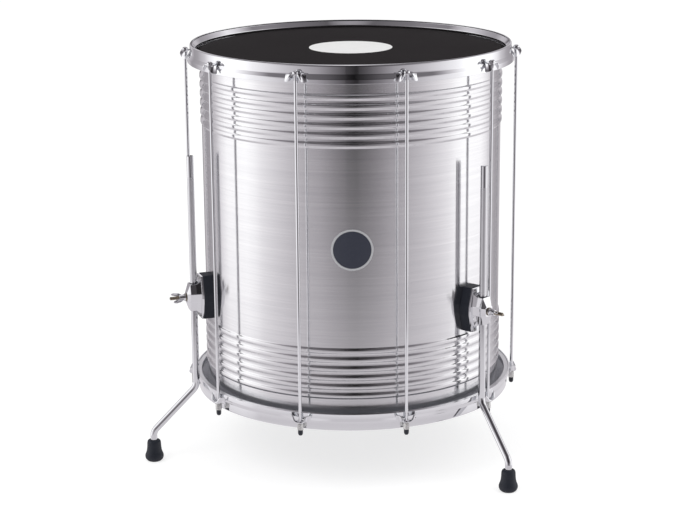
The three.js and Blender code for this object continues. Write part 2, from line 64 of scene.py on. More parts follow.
drum_axis = Vector(((shell_low.x + shell_high.x) / 2, (shell_low.y + shell_high.y) / 2, 0))
camera_data = bpy.data.cameras.new("camera")
camera_data.lens = 96.4
camera_data.sensor_width = 36
camera = bpy.data.objects.new("camera", camera_data)
camera_place = drum_axis + Vector((-4 * mm, -3426 * mm, 1263 * mm))
CAMERA_DIP = 14.85  # degrees below level
CAMERA_LEAN = -0.007  # radians
look_down = Matrix.Rotation(math.radians(90 - CAMERA_DIP), 4, "X")
lean = Matrix.Rotation(CAMERA_LEAN, 4, "Z")
camera.matrix_world = Matrix.Translation(camera_place) @ look_down @ lean
bpy.context.scene.collection.objects.link(camera)
bpy.context.scene.camera = camera
bpy.context.scene.view_settings.view_transform = "Standard"


def srgb(code):
    """An sRGB hex colour as linear RGBA."""
    parts = [int(code[i:i + 2], 16) / 255 for i in (1, 3, 5)]
    return [p / 12.92 if p <= 0.04045 else ((p + 0.055) / 1.055) ** 2.4 for p in parts] + [1]


def add_node(tree, kind, inputs=None, **settings):
    """Adds a shader node; an input is a plain value or the socket of another node."""
    node = tree.nodes.new(kind)
    for name, value in settings.items():
        setattr(node, name, value)
    for name, value in (inputs or {}).items():
        socket = node.inputs[name]
        if isinstance(value, bpy.types.NodeSocket):
            tree.links.new(value, socket)
        else:
            socket.default_value = value
    return node


def set_ramp(node, stops):
    """Fills a colour ramp with (position, grey) stops."""
    ramp = node.color_ramp
    while len(ramp.elements) < len(stops):
        ramp.elements.new(1)
    for element, (position, grey) in zip(ramp.elements, stops):
        element.position = position
        element.color = (grey, grey, grey, 1)
    return node.outputs["Color"]


# Studio: white paper all round to the eye, and a soft tent of light for the metal.
# The tent is bright at both sides and overhead, dim towards the camera and above the front,
# with a narrow darker post where the camera stands. Its levels are shares of the full light.
POST_BEARING = 0.012  # radians
POST_HALF_WIDE = 0.08
DIM_BEARING = 0.06  # the dimmest direction, a little right of the camera
world = bpy.data.worlds.new("studio_tent")
bpy.context.scene.world = world
world.use_nodes = True
sky = world.node_tree
sky.nodes.clear()
direction = add_node(sky, "ShaderNodeTexCoord").outputs["Generated"]
along = add_node(sky, "ShaderNodeSeparateXYZ", {"Vector": direction})
towards = add_node(sky, "ShaderNodeMath", {0: along.outputs["Y"], 1: -1.0}, operation="MULTIPLY")
bearing = add_node(
    sky, "ShaderNodeMath", {0: along.outputs["X"], 1: towards.outputs[0]}, operation="ARCTAN2")
turned = add_node(
    sky, "ShaderNodeMath", {0: bearing.outputs[0], 1: DIM_BEARING}, operation="SUBTRACT")
aside = add_node(sky, "ShaderNodeMath", {0: turned.outputs[0]}, operation="ABSOLUTE")
turn_share = add_node(sky, "ShaderNodeMath", {0: aside.outputs[0], 1: math.pi}, operation="DIVIDE")
level = set_ramp(
    add_node(sky, "ShaderNodeValToRGB", {"Fac": turn_share.outputs[0]}),
    [(0.0, 0.03), (0.045, 0.08), (0.09, 0.155), (0.15, 0.28), (0.2, 0.345), (0.28, 0.47),
     (0.36, 0.62), (0.42, 0.74), (0.46, 0.86), (0.51, 0.93), (0.63, 0.87), (0.68, 0.7),
     (0.72, 0.48), (0.79, 0.3), (0.84, 0.26), (0.89, 0.42), (0.93, 0.38), (0.96, 0.1),
     (1.0, 0.08)])
steepness = add_node(
    sky, "ShaderNodeMapRange",
    {"Value": along.outputs["Z"], "From Min": -1.0, "From Max": 1.0})
paper = set_ramp(
    add_node(sky, "ShaderNodeValToRGB", {"Fac": steepness.outputs["Result"]}),
    [(0.0, 0.45), (0.15, 0.5), (0.3, 0.5), (0.325, 0.46), (0.336, 0.56), (0.35, 0.5),
     (0.361, 0.1), (0.374, 0.0), (1.0, 0.0)])
ceiling = set_ramp(
    add_node(sky, "ShaderNodeValToRGB", {"Fac": steepness.outputs["Result"]}),
    [(0.0, 1.0), (0.45, 1.0), (0.55, 0.3), (1.0, 0.3)])
sideways = add_node(
    sky, "ShaderNodeMapRange",
    {"Value": turn_share.outputs[0], "From Min": 0.18, "From Max": 0.4})
side_top = add_node(
    sky, "ShaderNodeMapRange",
    {"Value": steepness.outputs["Result"], "From Min": 0.78, "From Max": 0.86, "To Min": 1.0,
     "To Max": 0.2})
canopy = add_node(
    sky, "ShaderNodeMix",
    {"Factor": sideways.outputs[0], "A": ceiling, "B": side_top.outputs["Result"]},
    data_type="FLOAT")
low_side = add_node(
    sky, "ShaderNodeMapRange",
    {"Value": steepness.outputs["Result"], "From Min": 0.32, "From Max": 0.38, "To Min": 0.6})
panels = add_node(
    sky, "ShaderNodeMath", {0: level, 1: low_side.outputs["Result"]}, operation="MULTIPLY")
dimmed = add_node(
    sky, "ShaderNodeMath", {0: panels.outputs[0], 1: canopy.outputs["Result"]},
    operation="MULTIPLY")
from_post = add_node(
    sky, "ShaderNodeMath", {0: bearing.outputs[0], 1: POST_BEARING, 2: POST_HALF_WIDE},
    operation="COMPARE")
post = add_node(
    sky, "ShaderNodeMapRange", {"Value": from_post.outputs[0], "To Min": 1.0, "To Max": 0.7})
shaded = add_node(
    sky, "ShaderNodeMath", {0: dimmed.outputs[0], 1: post.outputs[0]}, operation="MULTIPLY")
overhead = add_node(
    sky, "ShaderNodeMapRange",
    {"Value": steepness.outputs["Result"], "From Min": 0.958, "From Max": 0.972, "To Max": 0.42})
front_half = add_node(
    sky, "ShaderNodeMath", {0: towards.outputs[0], 1: -0.1}, operation="GREATER_THAN")
lamp_box = add_node(
    sky, "ShaderNodeMath", {0: overhead.outputs["Result"], 1: front_half.outputs[0]},
    operation="MULTIPLY")
behind = add_node(
    sky, "ShaderNodeMapRange", {"Value": turn_share.outputs[0], "From Min": 0.9, "From Max": 0.95})
back_high = add_node(
    sky, "ShaderNodeMapRange",
    {"Value": steepness.outputs["Result"], "From Min": 0.6, "From Max": 0.63, "To Max": 0.6})
back_wall = add_node(
    sky, "ShaderNodeMath", {0: behind.outputs["Result"], 1: back_high.outputs["Result"]},
    operation="MULTIPLY")
low_part = add_node(
    sky, "ShaderNodeMath", {0: shaded.outputs[0], 1: paper}, operation="MAXIMUM")
high_part = add_node(
    sky, "ShaderNodeMath", {0: lamp_box.outputs[0], 1: back_wall.outputs[0]},
    operation="MAXIMUM")
tent = add_node(
    sky, "ShaderNodeMath", {0: low_part.outputs[0], 1: high_part.outputs[0]},
    operation="MAXIMUM")
gloom = add_node(sky, "ShaderNodeMath", {0: 1.0, 1: tent.outputs[0]}, operation="SUBTRACT")
cast = add_node(
    sky, "ShaderNodeMix",
    {"Factor": gloom.outputs[0], "A": tent.outputs[0], "B": srgb("#fbf2fc")},
    data_type="RGBA", blend_type="MULTIPLY")
rays = add_node(sky, "ShaderNodeLightPath")
metal_light = add_node(
    sky, "ShaderNodeBackground", {"Color": cast.outputs["Result"], "Strength": 1.41})
room_light = add_node(
    sky, "ShaderNodeBackground", {"Color": srgb("#ffffff"), "Strength": 0.75})
white_paper = add_node(
    sky, "ShaderNodeBackground", {"Color": srgb("#ffffff"), "Strength": 1.0})
lit = add_node(
    sky, "ShaderNodeMixShader",
    {0: rays.outputs["Is Glossy Ray"], 1: room_light.outputs[0], 2: metal_light.outputs[0]})
seen_direct = add_node(
    sky, "ShaderNodeMath",
    {0: rays.outputs["Is Camera Ray"], 1: rays.outputs["Is Transmission Ray"]},
    operation="MAXIMUM")
seen = add_node(
    sky, "ShaderNodeMixShader",
    {0: seen_direct.outputs[0], 1: lit.outputs[0], 2: white_paper.outputs[0]})
add_node(sky, "ShaderNodeOutputWorld", {"Surface": seen.outputs[0]})


def soft_lamp(name, place, size, power):
    """An area lamp that faces the middle of the drum."""
    lamp_data = bpy.data.lights.new(name, "AREA")
    lamp_data.size = size
    lamp_data.energy = power
    lamp = bpy.data.objects.new(name, lamp_data)
    aim = drum_axis + Vector((0, 0, 400 * mm)) - place
    facing = aim.to_track_quat("-Z", "Y").to_matrix().to_4x4()
    lamp.matrix_world = Matrix.Translation(place) @ facing
    lamp.visible_glossy = False
    bpy.context.scene.collection.objects.link(lamp)


soft_lamp("key_lamp", Vector((-1.6, -1.8, 2.6)), 1.6, 26)
soft_lamp("fill_lamp", Vector((1.9, -1.2, 2.2)), 1.8, 14)

# Floor: a sheet of white paper. It keeps the soft shadow under the feet.
floor_mesh = bmesh.new()
bmesh.ops.create_circle(floor_mesh, cap_ends=True, segments=64, radius=30)
floor_data = bpy.data.meshes.new("floor")
floor_mesh.to_mesh(floor_data)
floor_mesh.free()
floor = bpy.data.objects.new("floor", floor_data)
bpy.context.scene.collection.objects.link(floor)
floor.visible_glossy = False
floor_paper = bpy.data.materials.new("white_paper")
floor_paper.use_nodes = True
sheet = floor_paper.node_tree
sheet.nodes.clear()
matte = add_node(sheet, "ShaderNodeBsdfDiffuse", {"Color": srgb("#b3b3b3")})
floor_rays = add_node(sheet, "ShaderNodeLightPath")
lift = add_node(
    sheet, "ShaderNodeMath", {0: floor_rays.outputs["Is Camera Ray"], 1: 0.7}, operation="MULTIPLY")
glow = add_node(
    sheet, "ShaderNodeEmission", {"Color": srgb("#ffffff"), "Strength": lift.outputs[0]})
whole = add_node(sheet, "ShaderNodeAddShader", {0: matte.outputs[0], 1: glow.outputs[0]})
add_node(sheet, "ShaderNodeOutputMaterial", {"Surface": whole.outputs[0]})
floor_data.materials.append(floor_paper)
floor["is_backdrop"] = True

# Shell: one tube of 2 mm aluminium sheet, with six rounded ribs rolled in near each end.
# Its edges are rolled inwards to carry the heads, and it is brushed round and round.
SHELL_R = 276
EDGE_LOW = 138
EDGE_HIGH = 762
RIB_COUNT = 6
RIB_FIRST = 44.3  # from the bearing edge to the first crest
RIB_PITCH = 16.6
RIB_PROUD = 2.3
RIB_HALF_FLAT = 1.9
RIB_FLANK = 4.3
RIB_RISE_SHARES = [(1, 0), (0.8, 0.095), (0.6, 0.345), (0.4, 0.655), (0.2, 0.905), (0, 1)]


def turned_ring(section, steps):
    """A section of (radius, height, corner cut) points, spun a full turn about Z."""
    ring = bmesh.new()
    corners = [ring.verts.new((radius, 0, height)) for radius, height, cut in section]
    ring.faces.new(corners)
    for corner, (radius, height, cut) in zip(corners, section):
        if cut:
            bmesh.ops.bevel(
                ring, geom=[corner], offset=cut, segments=4, profile=0.5,
                affect="VERTICES", material=-1)
    bmesh.ops.delete(ring, geom=ring.faces[:], context="FACES_ONLY")
    on_axis = [e for e in ring.edges if max(abs(v.co.x) for v in e.verts) < 0.0001]
    bmesh.ops.delete(ring, geom=on_axis, context="EDGES")
    bmesh.ops.spin(
        ring, geom=ring.verts[:] + ring.edges[:], axis=(0, 0, 1), cent=(0, 0, 0),
        angle=2 * math.pi, steps=steps, use_merge=True)
    return ring


def at_bearing(degrees):
    """Millimetres with X pointing out from the drum, to the model's frame; 0 is the front."""
    turn = Matrix.Rotation(math.radians(degrees) - math.pi / 2, 4, "Z")
    return Matrix.Translation(drum_axis) @ turn @ Matrix.Scale(mm, 4)


def finish_piece(mesh, name, body, material, nodes=(), place=None, crease=32):
    """Merges a bmesh, turns its faces out, puts it in place and hangs it on its body."""
    bmesh.ops.remove_doubles(mesh, verts=mesh.verts[:], dist=0.001)
    bmesh.ops.recalc_face_normals(mesh, faces=mesh.faces[:])
    data = bpy.data.meshes.new(name)
    mesh.to_mesh(data)
    mesh.free()
    data.transform(place or at_bearing(0))
    data.materials.append(material)
    data.shade_smooth()
    data.set_sharp_from_angle(angle=math.radians(crease))
    piece = bpy.data.objects.new(name, data)
    bpy.context.scene.collection.objects.link(piece)
    even = piece.modifiers.new("even_normals", "WEIGHTED_NORMAL")
    even.weight = 100
    even.keep_sharp = True
    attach(piece, body)
    if nodes:
        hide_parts(*nodes)
    return piece


def new_material(name):
    """A material with an empty tree, its Principled shader and its Object coordinates."""
    material = bpy.data.materials.new(name)
    material.use_nodes = True
    tree = material.node_tree
    tree.nodes.clear()
    place = add_node(tree, "ShaderNodeTexCoord").outputs["Object"]
    shader = add_node(tree, "ShaderNodeBsdfPrincipled")
    add_node(tree, "ShaderNodeOutputMaterial", {"Surface": shader.outputs[0]})
    return material, tree, place, shader


# Brushed aluminium: the brush left fine lines that run round the shell.
# They blur what it mirrors up and down, and keep it sharp from side to side.
BRUSH_LINE = 1.2 * mm  # the real lines are 0.1 mm apart, too fine to show
BRUSH_PASS_LONG = 220 * mm
BRUSH_PASS_HIGH = 9 * mm
brushed_aluminium, tree, place, shader = new_material("brushed_aluminium")
shader.inputs["Metallic"].default_value = 1
shader.inputs["Anisotropic"].default_value = 0.97
across = add_node(
    tree, "ShaderNodeMapping",
    {"Vector": place, "Scale": (2.0, 2.0, 1 / BRUSH_LINE)})
lines = add_node(
    tree, "ShaderNodeTexNoise",
    {"Vector": across.outputs[0], "Scale": 1.0, "Detail": 3.0, "Roughness": 0.6})
passes = add_node(
    tree, "ShaderNodeMapping",
    {"Vector": place, "Scale": (1 / BRUSH_PASS_LONG, 1 / BRUSH_PASS_LONG, 1 / BRUSH_PASS_HIGH)})
strokes = add_node(
    tree, "ShaderNodeTexNoise",
    {"Vector": passes.outputs[0], "Scale": 1.0, "Detail": 4.0, "Roughness": 0.65})
marks = add_node(
    tree, "ShaderNodeMath", {0: lines.outputs["Fac"], 1: strokes.outputs["Fac"]},
    operation="MULTIPLY")
tone = add_node(
    tree, "ShaderNodeMapRange", {"Value": marks.outputs[0], "From Min": 0.1, "From Max": 0.4})
tint = add_node(
    tree, "ShaderNodeMix",
    {"Factor": tone.outputs["Result"], "A": srgb("#e2e2e4"), "B": srgb("#eeeeef")},
    data_type="RGBA")
tree.links.new(tint.outputs["Result"], shader.inputs["Base Color"])
gloss = add_node(
    tree, "ShaderNodeMapRange",
    {"Value": lines.outputs["Fac"], "To Min": 0.128, "To Max": 0.154})
tree.links.new(gloss.outputs["Result"], shader.inputs["Roughness"])
up = add_node(tree, "ShaderNodeCombineXYZ", {"X": 0.0, "Y": 0.0, "Z": 1.0})
tree.links.new(up.outputs[0], shader.inputs["Tangent"])
ridges = add_node(
    tree, "ShaderNodeBump",
    {"Height": lines.outputs["Fac"], "Strength": 0.05, "Distance": 0.05 * mm})
tree.links.new(ridges.outputs[0], shader.inputs["Normal"])


def ribs_from(edge, way):
    """The outer face with its six ribs, from one bearing edge towards the middle."""
    points = []
    for rib in range(RIB_COUNT):
        crest = RIB_FIRST + rib * RIB_PITCH
        half = [
            (RIB_HALF_FLAT + along * RIB_FLANK, rise) for along, rise in RIB_RISE_SHARES]
        for reach, rise in half:
            points.append((SHELL_R + rise * RIB_PROUD, edge + way * (crest - reach), 0))
        for reach, rise in reversed(half):
            points.append((SHELL_R + rise * RIB_PROUD, edge + way * (crest + reach), 0))
    return points


def rolled_edge(edge, way):
    """The rolled edge from the inner wall, over the lip, to the outer face."""
    return [
        (SHELL_R - 2, edge + way * 10, 0), (SHELL_R - 6, edge + way * 6, 1),
        (SHELL_R - 6, edge, 1.8), (SHELL_R, edge, 1.8)]


shell_section = (
    rolled_edge(EDGE_LOW, 1) + ribs_from(EDGE_LOW, 1)
    + list(reversed(rolled_edge(EDGE_HIGH, -1) + ribs_from(EDGE_HIGH, -1))))
finish_piece(
    turned_ring(shell_section, 240), "shell_tube", "drum",
    brushed_aluminium, ["shell"], crease=60)

# Hoops: chromed steel strip, rolled over at the rim, flared and brought down as a skirt.
# Inside, a slope and a ledge press on the head. The bottom hoop is the same piece turned over.
RIM_TOP = 776
RIM_LOW = 124
hoop_section = [  # radius, depth below the rim, corner cut
    (294.5, 0, 3.2), (294.5, 16.5, 0.9), (299.5, 24, 0.9), (299.5, 32, 0.5), (297.3, 32, 0.5),
    (297.3, 24.7, 0.9), (292.3, 17.2, 0.9), (292.3, 12.6, 0.4), (284.5, 12.6, 0.3),
    (284.5, 10.2, 0.5), (290.5, 2.6, 0.3), (290.5, 0, 0.7)]

# Polished chrome plate: a near mirror, with a faint waviness left from the rolled strip.
chrome_plate, tree, place, shader = new_material("chrome_plate")
shader.inputs["Base Color"].default_value = srgb("#edeef0")
shader.inputs["Metallic"].default_value = 1
haze = add_node(
    tree, "ShaderNodeTexNoise", {"Vector": place, "Scale": 1 / (9 * mm), "Detail": 4.0})
gloss = add_node(
    tree, "ShaderNodeMapRange",
    {"Value": haze.outputs["Fac"], "From Min": 0.35, "From Max": 0.75, "To Min": 0.03,
     "To Max": 0.07})
tree.links.new(gloss.outputs["Result"], shader.inputs["Roughness"])
waves = add_node(
    tree, "ShaderNodeTexNoise", {"Vector": place, "Scale": 1 / (60 * mm), "Detail": 1.0})
ripple = add_node(
    tree, "ShaderNodeBump",
    {"Height": waves.outputs["Fac"], "Strength": 0.15, "Distance": 0.3 * mm})
tree.links.new(ripple.outputs[0], shader.inputs["Normal"])


def top_and_bottom(section, steps, name, material, low_material=None):
    """The same ring at the top of the drum and, turned over, at the bottom."""
    node = name.replace("_ring", "")
    high = [(radius, RIM_TOP - depth, cut) for radius, depth, cut in section]
    low = [(radius, RIM_LOW + depth, cut) for radius, depth, cut in section]
    finish_piece(
        turned_ring(high, steps), "top_" + name, "drum", material, ["top_" + node])
    finish_piece(
        turned_ring(low, steps), "bottom_" + name, "drum", low_material or material,
        ["bottom_" + node])


top_and_bottom(hoop_section, 240, "hoop_ring", chrome_plate)

# Flesh hoops: square aluminium rings that the films are glued into, under the hoops.
# Only a thin bright edge of them shows, between the shell and the hoop's skirt.
flesh_section = [
    (288.5, 17.9, 0.6), (292.4, 17.9, 1), (297, 24.9, 1), (297, 30.4, 0.6), (288.5, 30.4, 0.6)]
drawn_aluminium, tree, place, shader = new_material("drawn_aluminium")
shader.inputs["Base Color"].default_value = srgb("#dcdddf")
shader.inputs["Metallic"].default_value = 1
grain = add_node(
    tree, "ShaderNodeTexNoise", {"Vector": place, "Scale": 1 / (3 * mm), "Detail": 3.0})
gloss = add_node(
    tree, "ShaderNodeMapRange",
    {"Value": grain.outputs["Fac"], "To Min": 0.22, "To Max": 0.4})
tree.links.new(gloss.outputs["Result"], shader.inputs["Roughness"])
top_and_bottom(flesh_section, 200, "flesh_hoop_ring", drawn_aluminium)

# Drumheads: polyester film, drawn over the shell's edge into a sloping collar. It is 0.8 mm
# thick here. The top one is coated dull black.
film_section = [
    (0, 12.9, 0), (60, 12.9, 0), (120, 12.9, 0), (200, 12.9, 0), (276.6, 12.9, 2.5),
    (288.2, 20.9, 0.2), (288.2, 21.7, 0.2), (276.6, 13.7, 1.5), (0, 13.7, 0)]

# Coated film: a dull charcoal skin with a very fine tooth, which keeps a broad soft sheen.
coated_film, tree, place, shader = new_material("coated_film")
shader.inputs["Specular IOR Level"].default_value = 0.02
tooth = add_node(
    tree, "ShaderNodeTexNoise", {"Vector": place, "Scale": 1 / (1.6 * mm), "Detail": 4.0})
clouds = add_node(
    tree, "ShaderNodeTexNoise", {"Vector": place, "Scale": 1 / (90 * mm), "Detail": 3.0})
tint = add_node(
    tree, "ShaderNodeMix",
    {"Factor": clouds.outputs["Fac"], "A": srgb("#201d1e"), "B": srgb("#262324")}, data_type="RGBA")
tree.links.new(tint.outputs["Result"], shader.inputs["Base Color"])
gloss = add_node(
    tree, "ShaderNodeMapRange",
    {"Value": tooth.outputs["Fac"], "To Min": 0.5, "To Max": 0.68})
tree.links.new(gloss.outputs["Result"], shader.inputs["Roughness"])
skin = add_node(
    tree, "ShaderNodeBump",
    {"Height": tooth.outputs["Fac"], "Strength": 0.3, "Distance": 0.1 * mm})
tree.links.new(skin.outputs[0], shader.inputs["Normal"])

# Smoke film: the lower head is a clear grey, half-matt skin, and its collar shows as a grey ring.
smoke_film, tree, place, shader = new_material("smoke_film")
shader.inputs["IOR"].default_value = 1.55
streaks = add_node(
    tree, "ShaderNodeTexNoise", {"Vector": place, "Scale": 1 / (20 * mm), "Detail": 3.0})
tint = add_node(
    tree, "ShaderNodeMix",
    {"Factor": streaks.outputs["Fac"], "A": srgb("#aeafb7"), "B": srgb("#bcbdc5")},
    data_type="RGBA")
tree.links.new(tint.outputs["Result"], shader.inputs["Base Color"])
gloss = add_node(
    tree, "ShaderNodeMapRange", {"Value": streaks.outputs["Fac"], "To Min": 0.25, "To Max": 0.4})
tree.links.new(gloss.outputs["Result"], shader.inputs["Roughness"])
top_and_bottom(
    film_section, 200, "head_film_ring", coated_film, smoke_film)

# Centre disc: a plain white round of thin film, stuck on the middle of the top head.
disc_section = [
    (0, 763.8, 0), (25, 763.8, 0), (50, 763.8, 0), (76.5, 763.8, 0.2), (76.5, 763.4, 0),
    (0, 763.4, 0)]

# Screen-printed white film: bright and half matt, a touch uneven where sticks have rubbed it.
white_film, tree, place, shader = new_material("white_film")
shader.inputs["IOR"].default_value = 1.5
rubbed = add_node(
    tree, "ShaderNodeTexNoise", {"Vector": place, "Scale": 1 / (14 * mm), "Detail": 5.0})
tint = add_node(
    tree, "ShaderNodeMix",
    {"Factor": rubbed.outputs["Fac"], "A": srgb("#ecedec"), "B": srgb("#f5f5f4")}, data_type="RGBA")
tree.links.new(tint.outputs["Result"], shader.inputs["Base Color"])
gloss = add_node(
    tree, "ShaderNodeMapRange", {"Value": rubbed.outputs["Fac"], "To Min": 0.4, "To Max": 0.55})
tree.links.new(gloss.outputs["Result"], shader.inputs["Roughness"])
finish_piece(
    turned_ring(disc_section, 128), "centre_disc", "drum", white_film,
    ["head_centre_patch"])

# Badge: a round plate of enamelled steel, bent to the shell, with a raised bright rim.
# Its face is left plain.
BADGE_Z = 450
BEDDING = 0.3  # what is fixed to the shell stands off it by this much
badge_face = [
    (0, 0.9, 0), (8, 0.9, 0), (16, 0.9, 0), (24, 0.9, 0), (33.4, 0.9, 0), (33.4, 0, 0), (0, 0, 0)]
badge_rim = [(33.5, 1.2, 0.4), (37, 1.2, 0.4), (37, 0, 0), (33.5, 0, 0)]


def bent_to_shell(section):
    """A ring laid against the front of the shell and bent to its curve."""
    ring = turned_ring(section, 96)
    for vert in ring.verts:
        side, up, out = vert.co
        radius = SHELL_R + BEDDING + out
        vert.co = (math.sqrt(radius * radius - side * side), side, up + BADGE_Z)
    return ring


# Baked enamel: deep slate, smooth and glossy, with the slightest orange peel.
slate_enamel, tree, place, shader = new_material("slate_enamel")
shader.inputs["Roughness"].default_value = 0.22
shader.inputs["Coat Weight"].default_value = 0.4
peel = add_node(
    tree, "ShaderNodeTexNoise", {"Vector": place, "Scale": 1 / (2.5 * mm), "Detail": 2.0})
tint = add_node(
    tree, "ShaderNodeMix",
    {"Factor": peel.outputs["Fac"], "A": srgb("#343743"), "B": srgb("#3d404d")}, data_type="RGBA")
tree.links.new(tint.outputs["Result"], shader.inputs["Base Color"])
dimple = add_node(
    tree, "ShaderNodeBump",
    {"Height": peel.outputs["Fac"], "Strength": 0.15, "Distance": 0.1 * mm})
tree.links.new(dimple.outputs[0], shader.inputs["Normal"])
finish_piece(
    bent_to_shell(badge_face), "badge_face", "drum", slate_enamel,
    ["shell_badge"])

# Silver enamel: the badge's rim is a light satin grey, with metal flake in it.
silver_enamel, tree, place, shader = new_material("silver_enamel")
shader.inputs["Metallic"].default_value = 0.35
flake = add_node(
    tree, "ShaderNodeTexNoise", {"Vector": place, "Scale": 1 / (0.8 * mm), "Detail": 2.0})
tint = add_node(
    tree, "ShaderNodeMix",
    {"Factor": flake.outputs["Fac"], "A": srgb("#c4c5c8"), "B": srgb("#dcdde0")},
    data_type="RGBA")
tree.links.new(tint.outputs["Result"], shader.inputs["Base Color"])
gloss = add_node(
    tree, "ShaderNodeMapRange", {"Value": flake.outputs["Fac"], "To Min": 0.3, "To Max": 0.42})
tree.links.new(gloss.outputs["Result"], shader.inputs["Roughness"])
finish_piece(
    bent_to_shell(badge_rim), "badge_rim", "drum", silver_enamel, ["shell_badge"])

# Tension rods: ten 6 mm chromed steel rods, each with a domed head on its top claw.
ROD_CIRCLE = 304
ROD_COUNT = 10
ROD_BEARINGS = [18 + 36 * number for number in range(ROD_COUNT)]
CREST_HIGH = 761.5
CREST_LOW = 138.5
rod_section = [
    (0, 118.3, 0), (3, 118.3, 0.5), (3, CREST_HIGH, 0), (5.5, CREST_HIGH, 0.3),
    (5.5, CREST_HIGH + 2.4, 1.2), (3.4, CREST_HIGH + 4.5, 1.4), (0, CREST_HIGH + 4.5, 0)]
rod_pattern = turned_ring(rod_section, 24)
bmesh.ops.translate(rod_pattern, verts=rod_pattern.verts[:], vec=(ROD_CIRCLE, 0, 0))

# Claws: a saddle of folded 2 mm steel, chromed. Its back is flat under the rod's head,
# its toe bears on the hoop's flare, and a flat tab hangs down beside the skirt on each side.
CLAW_BACK = 6  # half the width of its flat back
CLAW_REACH = 18
CLAW_TAB_SPLAY = 2.8
CLAW_DROP = 14.5
CLAW_SHEET = 2
CLAW_TOE = 8  # from the rod's middle in to the toe
CLAW_TOE_SWEEP = 21  # how fast the inner edge runs back towards the rod along a wing
CLAW_INNER_GAP = 1.7
CLAW_FRONT = 6
CLAW_BULGE = 3.6
CLAW_BULGE_GROWTH = 4.5
CLAW_SHOULDER = 0.22  # the share of a wing at which its outer edge stands furthest out
CLAW_TUCK = 13.2  # how fast the outer edge runs in again from there
CLAW_FOLD_SHARE = 0.6
CLAW_SAG = 1.5


def claw_sheet():
    """The saddle's upper face as a bent grid, given its thickness and soft edges."""
    claw = bmesh.new()
    bmesh.ops.create_grid(claw, x_segments=24, y_segments=6, size=1)
    for vert in claw.verts:
        along, across = vert.co.x, (vert.co.y + 1) / 2
        side = -1 if along < 0 else 1
        wing = max(0, (abs(along) - 1 / 3) * 1.5)
        spread = min(abs(along) * 3, 1) * CLAW_BACK + wing * (
            CLAW_REACH - CLAW_BACK + CLAW_TAB_SPLAY * across)
        inner = min(ROD_CIRCLE - CLAW_INNER_GAP, ROD_CIRCLE - CLAW_TOE + CLAW_TOE_SWEEP * wing)
        bulge = (
            CLAW_FRONT + CLAW_BULGE * min(1, wing * CLAW_BULGE_GROWTH)
            - max(0, wing - CLAW_SHOULDER) * CLAW_TUCK)
        outer = ROD_CIRCLE + bulge
        turn = min(1, wing / CLAW_FOLD_SHARE)
        fall = turn * turn * (3 - 2 * turn)
        drop = CLAW_SAG * wing * (1 - across) + CLAW_DROP * fall * across
        vert.co = (inner + (outer - inner) * across, side * spread, -drop)
    bmesh.ops.recalc_face_normals(claw, faces=claw.faces[:])
    if claw.faces[0].normal.z < 0:
        bmesh.ops.reverse_faces(claw, faces=claw.faces[:])
    bmesh.ops.solidify(claw, geom=claw.faces[:], thickness=CLAW_SHEET)
    rim = [e for e in claw.edges if e.calc_face_angle(0) > math.radians(60)]
    bmesh.ops.bevel(
        claw, geom=rim, offset=0.5, segments=2, profile=0.5, affect="EDGES", material=-1)
    return claw


claw_pattern = claw_sheet()
upright = Matrix.Translation((0, 0, CREST_HIGH))
turned_over = Matrix.Translation((0, 0, CREST_LOW)) @ Matrix.Scale(-1, 4, (0, 0, 1))
for number, bearing in enumerate(ROD_BEARINGS):
    label = f"{number + 1:02d}"
    finish_piece(
        rod_pattern.copy(), "rod_" + label, "drum", chrome_plate,
        ["tension_rod_" + label], at_bearing(bearing))
    finish_piece(
        claw_pattern.copy(), "top_claw_" + label, "drum", chrome_plate,
        ["tension_rod_" + label], at_bearing(bearing) @ upright)
    finish_piece(
        claw_pattern.copy(), "lower_claw_" + label, "drum", chrome_plate,
        ["bottom_claw_" + label], at_bearing(bearing) @ turned_over)

# Tuning nuts: a washer and a hexagonal zinc-plated nut under each bottom claw.
# A black nylon cap closes the nut over the end of the rod.
NUT_CORNER_R = 5.9
NUT_HIGH = 11.2
NUT_MIDDLE_Z = 130.9
NUT_BORE_SHARE = 0.58  # the bore's size as a share of the nut's
washer_section = [(3.4, 138.2, 0.2), (5.2, 138.2, 0.4), (5.2, 136.6, 0.4), (3.4, 136.6, 0.2)]
cap_section = [
    (0, 114.7, 0), (2.4, 114.8, 0.8), (4, 116.6, 1.2), (4.5, 119.4, 0.8), (4.5, 125.1, 0.3),
    (3.6, 125.1, 0), (3.6, 117.9, 0), (0, 117.9, 0)]


def hexagon_nut():
    """A hexagonal nut with turned-down corners and an open bore."""
    nut = bmesh.new()
    bmesh.ops.create_cone(
        nut, cap_ends=False, segments=6, radius1=NUT_CORNER_R, radius2=NUT_CORNER_R,
        depth=NUT_HIGH)
    bmesh.ops.translate(nut, verts=nut.verts[:], vec=(0, 0, NUT_MIDDLE_Z))
    ends = bmesh.ops.extrude_edge_only(nut, edges=[e for e in nut.edges if e.is_boundary])
    for vert in [g for g in ends["geom"] if isinstance(g, bmesh.types.BMVert)]:
        vert.co.x *= NUT_BORE_SHARE
        vert.co.y *= NUT_BORE_SHARE
    bmesh.ops.bridge_loops(nut, edges=[e for e in nut.edges if e.is_boundary])
    rims = [e for e in nut.edges if e.calc_face_angle(0) > math.radians(50)
            and max(v.co.xy.length for v in e.verts) > 5]
    bmesh.ops.bevel(
        nut, geom=rims, offset=0.7, segments=3, profile=0.5, affect="EDGES", material=-1)
    return nut


